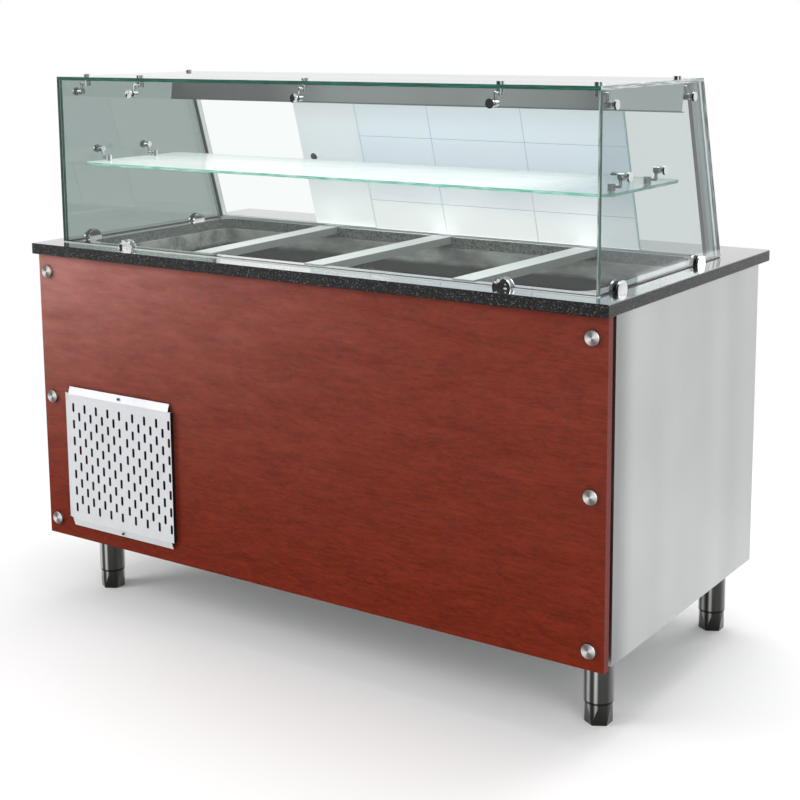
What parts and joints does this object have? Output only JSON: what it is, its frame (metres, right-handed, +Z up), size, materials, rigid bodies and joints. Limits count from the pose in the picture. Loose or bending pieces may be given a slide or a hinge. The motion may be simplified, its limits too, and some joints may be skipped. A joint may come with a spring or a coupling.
{
  "type": "refrigerated salad bar",
  "caption": "Refrigerated salad bar: a stone worktop with a cold well and divider bars on a panelled cabinet with screw feet, under a clamped glass canopy with sliding rear doors.",
  "frame": {"origin": "on the floor under the middle of the worktop", "axes": "+X along the worktop to the right as a customer sees it, +Y from the customer's side to the staff's side, +Z up"},
  "size_m": [1.5, 0.79, 1.259],
  "materials": {
    "granite": "polished",
    "tank_steel": "satin",
    "foam": "matte",
    "copper": "satin",
    "turned_steel": "satin",
    "bar_steel": "satin",
    "laminate": "satin",
    "brushed_caps": "satin",
    "grille_steel": "satin",
    "dark_screws": "satin",
    "satin_steel": "satin",
    "frame_steel": "satin",
    "black_plastic": "matte",
    "door_gasket": "matte",
    "leg_steel": "polished",
    "foot_steel": "polished",
    "clear_glass": "polished",
    "shelf_glass": "polished",
    "polished_fittings": "polished",
    "black_rubber": "matte",
    "header_steel": "satin",
    "lamp_tube": "gloss",
    "track_aluminium": "satin",
    "sill_aluminium": "satin",
    "dark_jambs": "satin",
    "silver_glass": "gloss",
    "filmed_glass": "satin",
    "grey_keys": "matte",
    "green_rocker": "gloss",
    "dark_machine": "satin",
    "fan_aluminium": "satin"
  },
  "bodies": {
    "cabinet": {"granite_worktop": "granite", "well_tank": "tank_steel", "well_insulation": "foam", "cooling_coil": "copper", "well_drain": "turned_steel", "front_panel": "laminate", "panel_standoffs": "brushed_caps", "vent_grille": "grille_steel", "grille_screws": "dark_screws", "side_panel_left": "satin_steel", "side_panel_right": "satin_steel", "cabinet_frame": "frame_steel", "base_panel": "satin_steel", "inner_front": "frame_steel", "bay_wall": "satin_steel", "rear_fascia": "satin_steel", "machine_cover": "satin_steel", "cable_gland": "black_plastic", "shelf_brackets": "frame_steel", "cupboard_shelf": "satin_steel", "door_hinges": "turned_steel", "leg_tubes": "leg_steel", "front_glass": "clear_glass", "side_glass_left": "clear_glass", "side_glass_right": "clear_glass", "top_glass": "clear_glass", "shelf_glass": "shelf_glass", "glass_clamps": "polished_fittings", "glass_gaskets": "black_rubber", "top_connectors": "polished_fittings", "shelf_connectors": "polished_fittings", "header_channel": "header_steel", "lamp": "lamp_tube", "door_top_track": "track_aluminium", "door_sill": "sill_aluminium", "door_jambs": "dark_jambs", "thermostat": "black_plastic", "power_switch_frame": "black_plastic", "condensing_unit": "dark_machine", "refrigerant_lines": "copper"},
    "divider_bar_left": {"divider_bar_left": "bar_steel"},
    "divider_bar_middle": {"divider_bar_middle": "bar_steel"},
    "divider_bar_right": {"divider_bar_right": "bar_steel"},
    "foot_front_left": {"foot_front_left": "foot_steel"},
    "foot_front_right": {"foot_front_right": "foot_steel"},
    "foot_rear_left": {"foot_rear_left": "foot_steel"},
    "foot_rear_right": {"foot_rear_right": "foot_steel"},
    "sliding_door_outer": {"sliding_door_outer": "silver_glass", "outer_door_knob": "polished_fittings"},
    "sliding_door_inner": {"sliding_door_inner": "filmed_glass", "inner_door_knob": "polished_fittings"},
    "cupboard_door_left": {"cupboard_door_left": "satin_steel", "door_gasket_left": "door_gasket"},
    "cupboard_door_right": {"cupboard_door_right": "satin_steel", "door_gasket_right": "door_gasket"},
    "fan": {"fan_blades": "fan_aluminium"},
    "power_rocker": {"power_rocker": "green_rocker"},
    "key_left": {"key_left": "grey_keys"},
    "key_middle": {"key_middle": "grey_keys"},
    "key_right": {"key_right": "grey_keys"}
  },
  "joints": [
    {"name": "outer_door_slide", "type": "slide", "parent": "cabinet", "child": "sliding_door_outer", "axis": [1, 0, 0], "range_m": [-0.307, 0.351]},
    {"name": "inner_door_slide", "type": "slide", "parent": "cabinet", "child": "sliding_door_inner", "axis": [1, 0, 0], "range_m": [-0.501, 0.157]},
    {"name": "cupboard_left_hinge", "type": "hinge", "parent": "cabinet", "child": "cupboard_door_left", "pos_m": [-0.291, 0.347, 0.395], "axis": [0, 0, 1], "range_deg": [0, 90]},
    {"name": "cupboard_right_hinge", "type": "hinge", "parent": "cabinet", "child": "cupboard_door_right", "pos_m": [0.711, 0.347, 0.395], "axis": [0, 0, -1], "range_deg": [0, 90]},
    {"name": "bar_left_lift", "type": "slide", "parent": "cabinet", "child": "divider_bar_left", "axis": [0, 0, 1], "range_m": [0, 0.028]},
    {"name": "bar_middle_lift", "type": "slide", "parent": "cabinet", "child": "divider_bar_middle", "axis": [0, 0, 1], "range_m": [0, 0.028]},
    {"name": "bar_right_lift", "type": "slide", "parent": "cabinet", "child": "divider_bar_right", "axis": [0, 0, 1], "range_m": [0, 0.028]},
    {"name": "foot_front_left_screw", "type": "slide", "parent": "cabinet", "child": "foot_front_left", "axis": [0, 0, -1], "range_m": [0, 0.03]},
    {"name": "foot_front_right_screw", "type": "slide", "parent": "cabinet", "child": "foot_front_right", "axis": [0, 0, -1], "range_m": [0, 0.03]},
    {"name": "foot_rear_left_screw", "type": "slide", "parent": "cabinet", "child": "foot_rear_left", "axis": [0, 0, -1], "range_m": [0, 0.03]},
    {"name": "foot_rear_right_screw", "type": "slide", "parent": "cabinet", "child": "foot_rear_right", "axis": [0, 0, -1], "range_m": [0, 0.03]},
    {"name": "fan_spin", "type": "hinge", "parent": "cabinet", "child": "fan", "pos_m": [-0.486, -0.278, 0.365], "axis": [0, 1, 0], "continuous": true},
    {"name": "power_rocker_tilt", "type": "hinge", "parent": "cabinet", "child": "power_rocker", "pos_m": [-0.451, 0.356, 0.737], "axis": [1, 0, 0], "range_deg": [0, 20]},
    {"name": "key_left_press", "type": "slide", "parent": "cabinet", "child": "key_left", "axis": [0, -1, 0], "range_m": [0, 0.001], "stiffness_N_per_m": 400, "springref_m": -0.0005},
    {"name": "key_middle_press", "type": "slide", "parent": "cabinet", "child": "key_middle", "axis": [0, -1, 0], "range_m": [0, 0.001], "stiffness_N_per_m": 400, "springref_m": -0.0005},
    {"name": "key_right_press", "type": "slide", "parent": "cabinet", "child": "key_right", "axis": [0, -1, 0], "range_m": [0, 0.001], "stiffness_N_per_m": 400, "springref_m": -0.0005}
  ]
}
